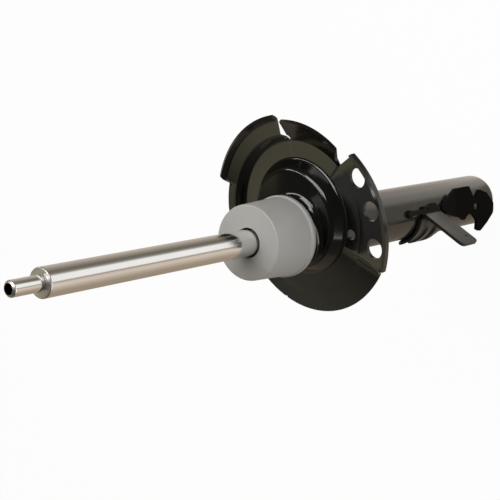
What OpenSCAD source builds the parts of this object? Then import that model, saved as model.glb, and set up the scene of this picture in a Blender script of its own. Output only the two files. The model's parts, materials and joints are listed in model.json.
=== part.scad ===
// Twin-tube gas strut with an offset, leaning spring seat. Millimetres.
// The Z axis is the strut's own axis. Z = 0 is the closed lower end, and the rod comes out at the top.

/* [Reservoir tube] */
// Outer diameter of the tube that the wheel carrier clamps
tube_d = 51; // [46:0.5:58]
// Wall of the tube
tube_wall = 2.5; // [1.5:0.1:3.5]
// Height of the tube's rolled top edge above its closed lower end
tube_h = 390; // [350:1:460]
// How far the top edge is rolled in
roll_in = 8; // [5:0.5:10]
// Corner radius of the closed lower end
base_round = 9; // [6:0.5:12]
// Thickness of the closed lower end
base_plate = 3.5; // [2.5:0.1:5]

/* [Pressure tube] */
// Bore that the piston runs in
bore_d = 32; // [30:0.5:36]
// Wall of the pressure tube
bore_wall = 1.5; // [1:0.1:2]

/* [Piston rod] */
// Diameter of the rod
rod_d = 22; // [20:0.5:24]
// Length of rod above the cap when it is run right out
rod_show = 225; // [190:1:250]
// Diameter of the top stud
stud_d = 12; // [10:0.5:14]
// Length of the top stud above its shoulder
stud_len = 27.5; // [20:0.5:40]
// Size across flats of the socket in the stud
socket_af = 7; // [5:0.5:8]
// Depth of that socket
socket_deep = 9; // [6:0.5:14]
// Diameter of the rod's tail, which carries the piston
tail_d = 12; // [10:0.5:14]

/* [Guide and seal] */
// Height of the guide's main body
guide_h = 19; // [14:0.5:26]
// Length of the guide's spigot in the pressure tube
spigot_len = 8; // [5:0.5:12]
// Wall of the guide's slide bush
bush_wall = 1.4; // [0.8:0.1:2]
// Thickness of the washer under the rolled edge
closing_t = 3; // [2:0.1:4]
// Thickness of the seal's steel washer
carrier_t = 2.5; // [1.5:0.1:3]
// Thickness of the seal's rubber flange
flange_t = 3; // [2:0.1:4]

/* [Bump cap] */
// Diameter at the front face
cap_front_d = 63; // [61:0.5:68]
// Diameter just before the rear lip
cap_rear_d = 67; // [65:0.5:72]
// Diameter of the rear lip
cap_lip_d = 70; // [69:0.5:76]
// Length of the rear lip
cap_lip_h = 5; // [3:0.5:8]
// Whole height of the cap
cap_h = 48.5; // [40:0.5:60]
// Wall of the cap
cap_wall = 2.4; // [1.8:0.1:3]
// Thickness of the front face
cap_plate = 2.8; // [2:0.1:4]
// Corner radius of the front face
cap_round = 3.5; // [2:0.5:4.5]
// Number of ribs inside the cap
cap_ribs = 12; // [6:1:20]

/* [Spring seat] */
// Distance from the tube's upper end down to the seat's centre
seat_drop = 74; // [68:1:100]
// How far the seat's centre lies to the side of the strut's axis
seat_shift = 14; // [8:0.5:16]
// Angle by which the seat leans
seat_lean = 10; // [4:0.5:12]
// Direction that the seat rises towards
seat_rise = 41; // [20:1:60]
// Thickness of the sheet
sheet = 3; // [2:0.1:3.5]
// Diameter of the dome's shoulder
dome_d = 92; // [90:0.5:96]
// Height of the dome above the pan
dome_h = 10.5; // [8:0.5:12]
// Diameter of the dome's foot
dome_foot_d = 101; // [100:0.5:106]
// Outer diameter of the ring that the spring stands on
ring_d = 133; // [128:0.5:138]
// Diameter of the upright flange's edge
flange_d = 169; // [162:0.5:174]
// Height of the upright flange
flange_h = 14; // [8:0.5:16]
// Diameter of the rim opposite the holes
rim_d = 176.6; // [172:0.5:182]
// Height of that rim's lip
rim_h = 13.5; // [11:0.5:16]
// Diameter of the sunk sector's edge
sunk_d = 177; // [170:0.5:180]
// Depth of the sunk sector's edge below the ring
sunk_h = 10.5; // [6:0.5:12]
// Diameter of the three big holes
big_hole_d = 16.6; // [12:0.1:18]
// Diameter of the small hole
small_hole_d = 8.8; // [6:0.1:10]
// Radius of the wing's lip, about its own centre
wing_r = 85.4; // [82:0.2:88]
// Height of the wing's lip
wing_lip_h = 7.5; // [5:0.5:9]
// Height of the collar round the tube
collar_h = 13; // [10:0.5:16]

/* [Hose bracket] */
// Height of the saddle's lower edge
saddle_z = 112; // [100:1:125]
// Length of the saddle along the tube
saddle_len = 50; // [44:1:56]
// Height of the two ridges pressed in the saddle
ridge_h = 2.2; // [1.5:0.1:3]
// Width of each ridge at its foot
ridge_w = 11; // [9:0.5:14]
// Distance from one ridge to the next
ridge_pitch = 17; // [15:0.5:20]
// Radius of the lobe on the saddle's scalloped end
lobe_r = 6.4; // [5:0.1:7]
// How far the scalloped end reaches beyond the saddle
lobe_rise = 23; // [18:1:28]
// Thickness of the bracket's sheet
strap_t = 3; // [2:0.1:3.5]
// Length of the tab
tab_len = 50; // [40:1:60]
// Width of the tab
tab_w = 30; // [24:0.5:34]
// Angle of the tab below the level through the axis
tab_drop = 37; // [30:1:45]

/* [Sensor bracket] */
// Height of the bracket's bend
bend_z = 92; // [84:1:98]
// Angle by which the bracket's head stands off the tube
head_yaw = 20; // [10:1:30]
// Diameter of the bracket's hole
head_hole_d = 6.6; // [5:0.1:8]

/* [Piston] */
// Height of the piston body
piston_h = 14; // [11:0.5:18]
// Width of the slide band round the piston
band_h = 9; // [6:0.5:10]
// Number of passages in each ring
passages = 8; // [4:1:10]
// Thickness of one valve disc
disc_t = 0.4; // [0.25:0.05:0.6]
// Length of bare rod between the rebound stop and the piston
stop_gap = 44; // [30:1:60]
// Height of the elastic rebound ring
bumper_h = 8; // [5:0.5:12]
// Height of the rebound stop
stop_h = 7; // [5:0.5:9]
// Size across flats of the piston nut
nut_af = 19; // [17:0.5:22]
// Height of the piston nut
nut_h = 8; // [6:0.5:12]

/* [Foot valve] */
// Height of the feet under the foot valve
foot_h = 5; // [4:0.5:8]
// Thickness of the foot valve's flange
valve_flange_t = 4; // [3:0.5:6]
// Height of the foot valve's spigot
valve_spigot_h = 8; // [6:0.5:10]
// Diameter of the rivet
rivet_d = 6; // [5:0.5:7]

/* [Clearances] */
// Radial clearance of a running fit
run_fit = 0.04; // [0.02:0.01:0.08]
// Radial clearance of a seated fit
seat_fit = 0.05; // [0.02:0.01:0.1]
// Radial gap under a piece that is welded to the tube
weld_gap = 0.1; // [0.05:0.01:0.2]
// Gap at rest between pieces that meet in motion
rest_gap = 0.3; // [0.2:0.05:0.5]
// How far a check plate lifts
lift = 1.2; // [0.8:0.1:1.5]

/* [Hidden] */
$fn = 96;
cut = 1;
small_fn = 32;

tube_r = tube_d / 2;
tube_in = tube_r - tube_wall;
roll_r = tube_r - roll_in;
bore_r = bore_d / 2;
bore_out = bore_r + bore_wall;
rod_r = rod_d / 2;
stud_r = stud_d / 2;
tail_r = tail_d / 2;

// Stack under the rolled edge, from the top down
washer_top = tube_h - tube_wall;
carrier_top = washer_top - closing_t;
flange_top = carrier_top - carrier_t;
guide_top = flange_top - flange_t;
guide_step = guide_top - guide_h;
guide_low = guide_step - spigot_len;
bush_r = rod_r + run_fit + bush_wall;
bush_low = guide_low + 2;
bush_top = guide_top - 7;
seal_r = rod_r + 4.2;

// Foot valve, from the base up
feet_z = base_plate;
valve_z = feet_z + foot_h;
bore_low = valve_z + valve_flange_t;
valve_top = bore_low + valve_spigot_h;
rivet_r = rivet_d / 2;
rivet_head_t = 1.6;
spring_t = 0.4;
plate_t = 0.8;

// Cap and rod
cap_top = tube_h + seat_fit + cap_plate;
cap_low = cap_top - cap_h;
cap_hole_r = rod_r + 1.4;
shoulder_z = cap_top + rod_show;
stud_top = shoulder_z + stud_len;
bumper_top = guide_low - rest_gap;
stop_top = bumper_top - bumper_h;
stop_low = stop_top - stop_h;
step_z = stop_low - stop_gap;

// Piston stack, from the rod's step down
lift_stop_t = 2;
boss_top = step_z - lift_stop_t;
boss_h = plate_t + lift + spring_t;
piston_top = boss_top - boss_h;
piston_low = piston_top - piston_h;
discs = 4;
discs_low = piston_low - discs * disc_t;
disc_washer_t = 2;
nut_top = discs_low - disc_washer_t;
nut_low = nut_top - nut_h;
tail_low = nut_low - 2;
outer_ring_r = bore_r - 4;
inner_ring_r = tail_r + 2.4;
hole_r = 1.1;

// Unit vector, and the points of a path whose inner corners are rounded: each entry is [x, y, radius]
function unit(v) = v / norm(v);
function corner(p, q, n, r, steps) =
    let (a = unit(p - q), b = unit(n - q))
    abs(a.x * b.y - a.y * b.x) < 0.03 ? [for (k = [0:steps]) q + (k / steps - 0.5) * unit(n - p)]
    : let (half = acos(a * b) / 2, centre = q + unit(a + b) * r / sin(half), sweep = 180 - 2 * half,
           s = q + a * r / tan(half) - centre, e = q + b * r / tan(half) - centre)
    [for (k = [0:steps])
        centre + (sin(sweep * (1 - k / steps)) * s + sin(sweep * k / steps) * e) / sin(sweep)];
function xy(p) = [p.x, p.y];
function rounded(path, steps = 4) = [for (i = [0:len(path) - 1]) each
    i == 0 || i == len(path) - 1 ? [xy(path[i])]
    : corner(xy(path[i - 1]), xy(path[i]), xy(path[i + 1]), path[i].z, steps)];

// Points of a path moved sideways by t, to the right of its direction
function right_of(v) = [v.y, -v.x];
function side(pts, i) =
    let (a = i == 0 ? unit(pts[1] - pts[0]) : unit(pts[i] - pts[i - 1]),
         b = i == len(pts) - 1 ? a : unit(pts[i + 1] - pts[i]), m = unit(a + b))
    right_of(m) / (m * a);
function moved(pts, t) = [for (i = [0:len(pts) - 1]) pts[i] + t * side(pts, i)];
function backwards(pts) = [for (i = [len(pts) - 1:-1:0]) pts[i]];
// Closed outline of a sheet whose upper face follows a path
function sheet_outline(path, t) = let (top = rounded(path, 3)) concat(top, backwards(moved(top, t)));

module tube(r_out, r_in, z0, z1) {
    difference() {
        translate([0, 0, z0]) cylinder(r = r_out, h = z1 - z0);
        translate([0, 0, z0 - cut]) cylinder(r = r_in, h = z1 - z0 + 2 * cut);
    }
}

module ring_of(count, r) {
    for (i = [0:count - 1]) rotate([0, 0, 360 * i / count]) translate([r, 0, 0]) children();
}

// ---- Strut body ----

module reservoir_tube() {
    edge = rounded([[tube_r, base_round, 0], [tube_r, tube_h, tube_wall], [roll_r, tube_h, 0]]);
    color("black") rotate_extrude()
        polygon(concat(edge, [[roll_r, washer_top], [tube_in, washer_top], [tube_in, base_round]]));
}

module base_cap() {
    spigot_r = tube_in - seat_fit;
    spigot_top = base_round + 6;
    inner_r = spigot_r - tube_wall;
    corner_path = rounded([[0, 0, 0], [tube_r, 0, base_round - 0.01], [tube_r, base_round, 0]], 8);
    inner_path = rounded([[inner_r, spigot_top, 0], [inner_r, base_plate, 2], [0, base_plate, 0]]);
    color("black") rotate_extrude()
        polygon(concat(corner_path, [[spigot_r, base_round], [spigot_r, spigot_top]], inner_path));
}

module pressure_tube() {
    color("silver") tube(bore_out, bore_r, bore_low, guide_step);
}

module rod_guide() {
    recess_r = seal_r + 0.9;
    color("dimgray") difference() {
        rotate_extrude() polygon([
            [bush_r + seat_fit, guide_low], [bore_r - seat_fit, guide_low], [bore_r - seat_fit, guide_step],
            [tube_in - seat_fit, guide_step], [tube_in - seat_fit, guide_top], [recess_r, guide_top],
            [recess_r, bush_top], [bush_r + seat_fit, bush_top]]);
        // Oil that passes the bush drains back to the reservoir
        ring_of(4, bore_out + 2.2) translate([0, 0, guide_step - cut])
            cylinder(r = 1.2, h = guide_h + 2 * cut);
    }
}

module guide_bush() {
    color("darkgoldenrod") tube(bush_r, rod_r + run_fit, bush_low, bush_top);
}

module seal_carrier() {
    color("gray") tube(tube_in - seat_fit, seal_r + 1, flange_top, carrier_top);
}

// Rubber seal: a flange under the steel washer, a body, and a lip with a groove for its garter spring
module rod_seal() {
    low = guide_top - 3.5;
    high = carrier_top + 1.6;
    groove_z = low + 1.6;
    lip_r = rod_r + run_fit;
    color("black") rotate_extrude() difference() {
        polygon([[lip_r, low], [seal_r - 0.6, low], [seal_r, low + 1], [seal_r, guide_top],
                 [tube_in - 2 * seat_fit, guide_top], [tube_in - 2 * seat_fit, flange_top],
                 [seal_r, flange_top],
                 [seal_r, high - 1], [seal_r - 1, high], [lip_r, high], [lip_r, high - 1.5],
                 [lip_r + 1.2, high - 3], [lip_r + 1.2, low + 3.5], [lip_r, low + 2]]);
        translate([seal_r, groove_z]) circle(r = 1, $fn = small_fn);
    }
}

module seal_spring() {
    color("silver") translate([0, 0, guide_top - 3.5 + 1.6]) rotate_extrude()
        translate([seal_r - 0.05, 0]) circle(r = 0.7, $fn = small_fn);
}

module closing_washer() {
    color("gray") tube(tube_in - seat_fit, seal_r + 0.6, carrier_top, washer_top);
}

// Cap: a tapered cup with a lip round its rear edge, and ribs that centre it on the tube
module bump_cap() {
    front_r = cap_front_d / 2;
    rear_r = cap_rear_d / 2;
    lip_r = cap_lip_d / 2;
    lip_z = cap_low + cap_lip_h;
    under = cap_top - cap_plate;
    outside = rounded([[cap_hole_r, cap_top, 0], [front_r, cap_top, cap_round], [rear_r, lip_z, 0.8],
                       [lip_r, lip_z - 1, 0.8], [lip_r, cap_low, 0.8], [rear_r - cap_wall, cap_low, 0]]);
    inside = rounded([[rear_r - cap_wall, cap_low, 0], [front_r - cap_wall, under, 1.5],
                      [cap_hole_r, under, 0]]);
    color("lightgray") {
        rotate_extrude() polygon(concat(outside, [for (i = [1:len(inside) - 1]) inside[i]]));
        for (i = [0:cap_ribs - 1]) rotate([0, 0, 360 * i / cap_ribs]) cap_rib(under);
    }
}

module cap_rib(under) {
    rib_t = 1.8;
    grip = tube_r + seat_fit;
    front_in = cap_front_d / 2 - cap_wall;
    rear_in = cap_rear_d / 2 - cap_wall;
    rotate([90, 0, 0]) translate([0, 0, -rib_t / 2]) linear_extrude(rib_t)
        polygon([[grip, under], [front_in + 0.5, under], [rear_in + 0.2, cap_low + 6],
                 [grip + 1, cap_low + 6], [grip, cap_low + 8]]);
}

// ---- Spring seat ----

// Puts a shape in the seat's own frame, where Z = 0 is the upper face of the ring
seat_z = tube_h - seat_drop;

module in_seat() {
    translate([0, seat_shift, seat_z]) rotate([0, 0, seat_rise]) rotate([0, -seat_lean, 0])
        rotate([0, 0, -seat_rise]) children();
}

dome_r = dome_d / 2;
foot_r = dome_foot_d / 2;
ring_r = ring_d / 2;
wall_rise = 7;
wall_r = ring_r + 5;
fold_r = sheet + 1;
sunk_r = sunk_d / 2;
wing_slope = 0.087;
wing_at = [12.6, -7.5];
eye_r = 8;
// Each big hole: [angle, distance in from the wing's lip]
big_holes = [[25, 13.1], [3.5, 15.6], [-17.5, 15.6]];

// Sections of the pan outside the dome: four points each, [radius, height, corner radius]
function wing_edge(a) =
    let (m = wing_at * [cos(a), sin(a)]) m + sqrt(wing_r * wing_r - wing_at * wing_at + m * m);
function wing_section(a) =
    let (r = wing_edge(a), h = 0.5 + wing_slope * (r - ring_r))
    [[ring_r, 0.5, 3], [(ring_r + r) / 2, (0.5 + h) / 2, 0], [r - 0.2, h, 1], [r, wing_lip_h, 0]];
ramp_section = [[ring_r, 0.4, 3], [ring_r + 8, 1, 3], [ring_r + 17, 1.6, 3], [ring_r + 25.5, 2.3, 0]];
flange_section = let (low = [ring_r, 0.8], top = [flange_d / 2, flange_h], third = (top - low) / 3)
    [[low.x, low.y, 1.5], [low.x + third.x, low.y + third.y, 3], [top.x - third.x, top.y - third.y, 3],
     [top.x, top.y, 0]];
rim_section = [[ring_r, 0.4, 3], [wall_r, wall_rise, fold_r], [rim_d / 2 - 2.8, wall_rise + 1.6, 2],
               [rim_d / 2, rim_h, 0]];
low_section = [[ring_r, 0.4, 3], [wall_r, wall_rise, fold_r], [rim_d / 2 - 10.3, wall_rise + 0.6, 2],
               [rim_d / 2 - 6.8, wall_rise + 1, 0]];
sunk_section = [[ring_r, -0.42 * sunk_h, 3], [wall_r, -0.5 * sunk_h, 3],
                [(wall_r + sunk_r) / 2, -0.75 * sunk_h, 6], [sunk_r, -sunk_h, 0]];

// Where each section begins and ends, round the seat's axis: [angle, section]
WING = 0;
RAMP = 1;
FLANGE = 2;
RIM = 3;
LOW = 4;
SUNK = 5;
round_keys = [[-28, WING], [41, WING], [42, FLANGE], [91.5, FLANGE], [92.5, RIM], [157.5, RIM],
              [158.5, LOW], [172, LOW], [212, SUNK], [322, SUNK], [331, RAMP], [332, WING]];
angle_step = 4.5;

function section(kind, a) =
    kind == WING ? wing_section(a) : kind == RAMP ? ramp_section : kind == FLANGE ? flange_section
    : kind == RIM ? rim_section : kind == LOW ? low_section : sunk_section;
function pan_path(k, s) =
    let (a0 = round_keys[k][0], a1 = round_keys[k + 1][0], a = a0 + s * (a1 - a0),
         w = (1 - cos(180 * s)) / 2)
    concat([[eye_r, dome_h, 0], [dome_r, dome_h, fold_r], [foot_r, 0, 3]],
           (1 - w) * section(round_keys[k][1], a) + w * section(round_keys[k + 1][1], a));

// Dome, ring and rim, pressed from one sheet: sections joined all the way round
module pan() {
    stations = [for (k = [0:len(round_keys) - 2])
        let (span = round_keys[k + 1][0] - round_keys[k][0], count = ceil(span / angle_step))
        each [for (i = [0:count - 1]) [round_keys[k][0] + span * i / count, k, i / count]]];
    rings = [for (st = stations) sheet_outline(pan_path(st[1], st[2]), sheet)];
    m = len(rings);
    n = len(rings[0]);
    points = [for (k = [0:m - 1]) let (a = stations[k][0])
        each [for (p = rings[k]) [p.x * cos(a), p.x * sin(a), p.y]]];
    faces = [for (k = [0:m - 1], i = [0:n - 1]) let (j = (i + 1) % n, q = (k + 1) % m)
        each [[k * n + i, q * n + j, k * n + j], [k * n + i, q * n + i, q * n + j]]];
    polyhedron(points, faces, convexity = 8);
}

module seat_hole(r, a, d) {
    rotate([0, 0, a]) translate([r, 0, -20]) cylinder(d = d, h = 40);
}

module spring_seat() {
    grip = tube_r + weld_gap;
    collar_low = seat_z - 1;
    color("black") difference() {
        union() {
            in_seat() difference() {
                pan();
                for (at = big_holes) {
                    seat_hole(wing_edge(at[0]) - at[1], at[0], big_hole_d);
                }
                seat_hole(foot_r + 6.5, -16, small_hole_d);
                // Slot between the rim and the flange, and its round end
                seat_hole(ring_r + 3, 89.5, 5.6);
                translate([0, 0, -20]) linear_extrude(60)
                    polygon([[-1, ring_r + 4], [0.6, ring_r + 4], [1.5, 110], [-9.6, 110]]);
                // Notch between the flange and the wing
                translate([0, 0, -20]) linear_extrude(60)
                    polygon([for (p = [[ring_r + 2.5, 41], [ring_r + 6, 43.4], [110, 44.5], [112, 34]])
                             p[0] * [cos(p[1]), sin(p[1])]]);
                seat_hole(sunk_r + 0.4, -103, 3);
            }
            translate([0, 0, collar_low]) cylinder(r = grip + sheet, h = collar_h + 7);
        }
        translate([0, 0, seat_z - 60]) cylinder(r = grip, h = 120);
    }
}

// ---- Brackets ----

saddle_from = -112;
ridge_to = -10;
saddle_to = 4;
strap_in = tube_r + weld_gap;
strap_out = strap_in + strap_t;

// One pressed ridge that starts at height z: [radius, height, corner radius]
function ridge_points(z) = let (slope = ridge_w / 5.5)
    [[strap_out, z, 1.5], [strap_out + ridge_h, z + slope, 1.5],
     [strap_out + ridge_h, z + ridge_w - slope, 1.5], [strap_out, z + ridge_w, 1.5]];

// Strap, with two pressed ridges and a front edge that flares out
module strap(from, to) {
    z0 = saddle_z;
    z1 = saddle_z + saddle_len;
    r1 = strap_out;
    first = z0 + 0.16 * saddle_len;
    path = rounded(concat([[r1, z0, 0]], ridge_points(first), ridge_points(first + ridge_pitch),
                          [[r1, z1 - 4, 3], [r1 + 4, z1 + 2, 0]]), 3);
    rotate([0, 0, from]) rotate_extrude(angle = to - from)
        polygon(concat([[strap_in, z0]], path, [[r1 + 1.5, z1 + 3.5], [strap_in, z1 - 2]]));
}

// The saddle's plain end, with a scalloped upper edge that lies on the tube
module scalloped_end() {
    low = saddle_z + saddle_len / 4;
    lobe_z = saddle_z + 0.46 * saddle_len;
    top = saddle_z + saddle_len + lobe_rise;
    intersection() {
        rotate([0, 0, ridge_to - 2]) rotate_extrude(angle = saddle_to - ridge_to + 24)
            translate([strap_in, saddle_z]) square([strap_t, top - saddle_z]);
        rotate([90, 0, 90]) linear_extrude(tube_d) difference() {
            union() {
                translate([-1.4 * lobe_r, low]) square([1.7 * lobe_r, 0.67 * saddle_len]);
                translate([-0.15 * lobe_r, low]) square([0.7 * lobe_r, top - 0.8 * lobe_r - low]);
                translate([0.4 * lobe_r, lobe_z]) circle(r = lobe_r);
                translate([0.15 * lobe_r, lobe_z]) square([0.8 * lobe_r, 0.4 * saddle_len]);
                translate([0.15 * lobe_r, top - 0.8 * lobe_r]) circle(r = 0.62 * lobe_r);
            }
            translate([0.56 * lobe_r, saddle_z + 0.72 * saddle_len]) circle(r = 1.2, $fn = small_fn);
        }
    }
}

module hose_saddle() {
    color("black") union() {
        strap(saddle_from, ridge_to);
        scalloped_end();
    }
}

module hose_tab() {
    round_r = 5;
    z_mid = saddle_z + 0.54 * saddle_len;
    color("black") difference() {
        translate([strap_out, 0, z_mid]) rotate([0, 0, -tab_drop]) rotate([90, 0, 0])
            translate([0, 0, -strap_t / 2]) linear_extrude(strap_t)
                polygon(rounded([[-3, -tab_w / 2, 0], [tab_len, -tab_w / 2, round_r],
                                 [tab_len, tab_w / 2, round_r], [-3, tab_w / 2, 0]]));
        translate([0, 0, saddle_z]) cylinder(r = strap_out + seat_fit, h = saddle_len);
        translate([strap_out, 0, z_mid]) rotate([0, 0, -tab_drop]) rotate([90, 0, 0])
            translate([tab_len - 10, -6, -strap_t]) cylinder(r = 1.2, h = 2 * strap_t);
    }
}

// Outline of the sensor bracket, flat: [down the sheet from its bend, across, corner radius]
bracket_path = [[2.2, 18.2, 0], [3.7, 18.2, 2], [18.3, 18.9, 1.5], [22.6, 8.6, 1], [26.6, 8, 0.6],
                [31.3, 14.2, 0.6], [41, 10.5, 4], [49.6, 0, 6], [48.6, -10.4, 8], [39.5, -19.7, 6],
                [29.6, -27.6, 1], [24.8, -25.4, 1], [26.6, -16, 5], [20.6, -9, 3], [14.4, -9.6, 3],
                [9.4, -14.8, 1], [4.4, -11.2, 2], [0, -10.4, 2], [-16, -6, 4], [-28, -1, 1], [-28, 4, 1],
                [0, 18.2, 2], [1.2, 18.2, 0]];
head_hole_at = [27.3, -2.2];

function bent_z(along) = bend_z - along * (along > 0 ? cos(head_yaw) : 1);

module sensor_bracket() {
    reach = 70;
    across = [sin(head_yaw), -cos(head_yaw)];
    off = [cos(head_yaw), sin(head_yaw)];
    bend = [strap_in, bend_z];
    color("black") difference() {
        intersection() {
            translate([0, reach, 0]) rotate([90, 0, 0]) linear_extrude(2 * reach) polygon([
                bend + [0, reach], bend, bend + reach * across, bend + reach * across + strap_t * off,
                bend + strap_t * [1, tan(head_yaw / 2)], bend + [strap_t, reach]]);
            rotate([90, 0, 90]) linear_extrude(2 * reach)
                polygon(rounded([for (p = bracket_path) [p[1], bent_z(p[0]), p[2]]]));
        }
        translate([strap_in, 0, bend_z]) rotate([0, 90 - head_yaw, 0])
            translate([head_hole_at.x, head_hole_at.y, -cut])
                cylinder(d = head_hole_d, h = strap_t + 2 * cut);
    }
}

// ---- Foot valve ----

module base_valve_body() {
    feet = 4;
    color("gray") difference() {
        union() {
            tube(bore_out + 0.5, bore_out - 3, feet_z, valve_z);
            translate([0, 0, valve_z]) cylinder(r = bore_out + 1, h = valve_flange_t);
            translate([0, 0, bore_low]) cylinder(r = bore_r - seat_fit, h = valve_spigot_h);
        }
        for (i = [0:feet - 1]) rotate([0, 0, 360 * i / feet]) translate([0, -4, feet_z - cut])
            cube([bore_out + 5, 8, foot_h - 1.5 + cut]);
        translate([0, 0, valve_z - cut]) cylinder(r = rivet_r, h = valve_top - valve_z + 2 * cut);
        ring_of(passages, outer_ring_r) translate([0, 0, valve_z - cut]) cylinder(r = hole_r, h = 40);
        ring_of(passages, inner_ring_r) translate([0, 0, valve_z - cut]) cylinder(r = hole_r, h = 40);
    }
}

// Stack of discs, the widest against the face at z, going down
module disc_stack(z, hole, widest, step) {
    for (i = [0:discs - 1]) tube(widest - i * step, hole, z - (i + 1) * disc_t, z - i * disc_t);
}

module base_valve_discs() {
    color("silver") disc_stack(valve_z, rivet_r + seat_fit, inner_ring_r + 2.2, 1.3);
}

module base_valve_pin() {
    low = valve_z - discs * disc_t;
    high = valve_top + plate_t + lift + spring_t;
    color("silver") {
        translate([0, 0, low - rivet_head_t]) cylinder(r = rivet_r + 1.8, h = rivet_head_t);
        translate([0, 0, low]) cylinder(r = rivet_r - seat_fit, h = high - low);
        translate([0, 0, high]) cylinder(r = rivet_r + 2, h = rivet_head_t);
    }
}

module check_plate(z, inner) {
    tube(outer_ring_r + 2.2, inner, z, z + plate_t);
}

// Star spring: a flat hub and sloping legs that stand on the check plate
module star_spring(z, hub_in, hub_out) {
    legs = 6;
    reach = outer_ring_r + 1;
    tube(hub_out, hub_in, z + lift, z + lift + spring_t);
    for (i = [0:legs - 1]) rotate([0, 0, 360 * i / legs]) rotate_extrude(angle = 24)
        polygon([[hub_out - 0.4, z + lift], [reach, z + 0.05], [reach, z + 0.05 + spring_t],
                 [hub_out - 0.4, z + lift + spring_t]]);
}

module base_check_plate() {
    color("gainsboro") check_plate(valve_top, outer_ring_r - 2.6);
}

module base_check_spring() {
    color("lightsteelblue") star_spring(valve_top + plate_t, rivet_r + seat_fit, rivet_r + 3.4);
}

// ---- Rod and piston ----

module piston_rod() {
    neck = 1.2;
    bevel = 1;
    groove_t = stop_h - 2;
    color("silver") difference() {
        rotate_extrude() polygon([
            [0, tail_low], [tail_r - bevel, tail_low], [tail_r, tail_low + bevel], [tail_r, step_z],
            [rod_r, step_z],
            [rod_r, stop_low + 1], [rod_r - 1.2, stop_low + 1], [rod_r - 1.2, stop_low + 1 + groove_t],
            [rod_r, stop_low + 1 + groove_t], [rod_r, shoulder_z - bevel], [rod_r - bevel, shoulder_z],
            [stud_r - neck, shoulder_z], [stud_r - neck, shoulder_z + 1.6], [stud_r, shoulder_z + 2.6],
            [stud_r, stud_top - 1.5], [stud_r - 1.5, stud_top], [0, stud_top]]);
        translate([0, 0, stud_top - socket_deep])
            cylinder(d = socket_af / cos(30), h = socket_deep + cut, $fn = 6);
    }
}

module rebound_stop() {
    out = bore_r - 1.6;
    in_r = rod_r + seat_fit;
    key_r = in_r - 1.2;
    key_low = stop_low + 1 + seat_fit;
    key_top = stop_low + stop_h - 1 - seat_fit;
    color("dimgray") rotate_extrude() polygon([
        [in_r, stop_low], [out - 1, stop_low], [out, stop_low + 1], [out, stop_top - 0.6],
        [out - 0.6, stop_top], [in_r, stop_top], [in_r, key_top], [key_r, key_top], [key_r, key_low],
        [in_r, key_low]]);
}

module rebound_bumper() {
    out = bore_r - 1.2;
    color("orangered") rotate_extrude()
        polygon(rounded([[rod_r + 0.3, stop_top, 0], [out, stop_top, 1], [out, bumper_top, 1.5],
                         [rod_r + 0.3, bumper_top, 0]]));
}

module lift_stop() {
    color("silver") tube(outer_ring_r + 0.5, tail_r + seat_fit, boss_top, step_z);
}

module piston() {
    out = bore_r - 0.8;
    boss_r = outer_ring_r - 3.2;
    band_low = piston_low + (piston_h - band_h) / 2;
    color("gray") difference() {
        rotate_extrude() polygon([
            [tail_r + seat_fit, piston_low], [out - 1, piston_low], [out, piston_low + 1], [out, band_low],
            [out - 1, band_low], [out - 1, band_low + band_h], [out, band_low + band_h],
            [out, piston_top - 1],
            [out - 1, piston_top], [boss_r, piston_top], [boss_r, boss_top],
            [tail_r + seat_fit, boss_top]]);
        ring_of(passages, outer_ring_r) translate([0, 0, piston_low - cut])
            cylinder(r = hole_r, h = piston_h + 2 * cut);
    }
}

module piston_band() {
    band_low = piston_low + (piston_h - band_h) / 2;
    color("saddlebrown") tube(bore_r - run_fit, bore_r - 1.8 + run_fit, band_low + run_fit,
                              band_low + band_h - run_fit);
}

module rebound_discs() {
    color("silver") disc_stack(piston_low, tail_r + seat_fit, outer_ring_r - 1.6, 0.8);
}

module disc_washer() {
    color("dimgray") tube(tail_r + 3, tail_r + seat_fit, nut_top, discs_low);
}

module piston_nut() {
    color("slategray") difference() {
        intersection() {
            translate([0, 0, nut_low]) cylinder(d = nut_af / cos(30), h = nut_h, $fn = 6);
            rotate_extrude() polygon([[0, nut_low], [nut_af / 2, nut_low], [nut_af / 2 + 1.6, nut_low + 1],
                                      [nut_af / 2 + 1.6, nut_top], [0, nut_top]]);
        }
        translate([0, 0, nut_low - cut]) cylinder(r = tail_r + seat_fit, h = nut_h + 2 * cut);
    }
}

module piston_check_plate() {
    color("gainsboro") check_plate(piston_top, outer_ring_r - 3.2 + run_fit + 0.2);
}

module piston_check_spring() {
    color("lightsteelblue") star_spring(piston_top + plate_t, outer_ring_r - 3.1, outer_ring_r - 1.4);
}

reservoir_tube();
base_cap();
pressure_tube();
rod_guide();
guide_bush();
seal_carrier();
rod_seal();
seal_spring();
closing_washer();
bump_cap();
spring_seat();
hose_saddle();
hose_tab();
sensor_bracket();
base_valve_body();
base_valve_discs();
base_valve_pin();
base_check_plate();
base_check_spring();
piston_rod();
rebound_stop();
rebound_bumper();
lift_stop();
piston();
piston_band();
rebound_discs();
disc_washer();
piston_nut();
piston_check_plate();
piston_check_spring();
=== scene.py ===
import json
import math

import bmesh
import bpy
from mathutils import Matrix, Vector


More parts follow.
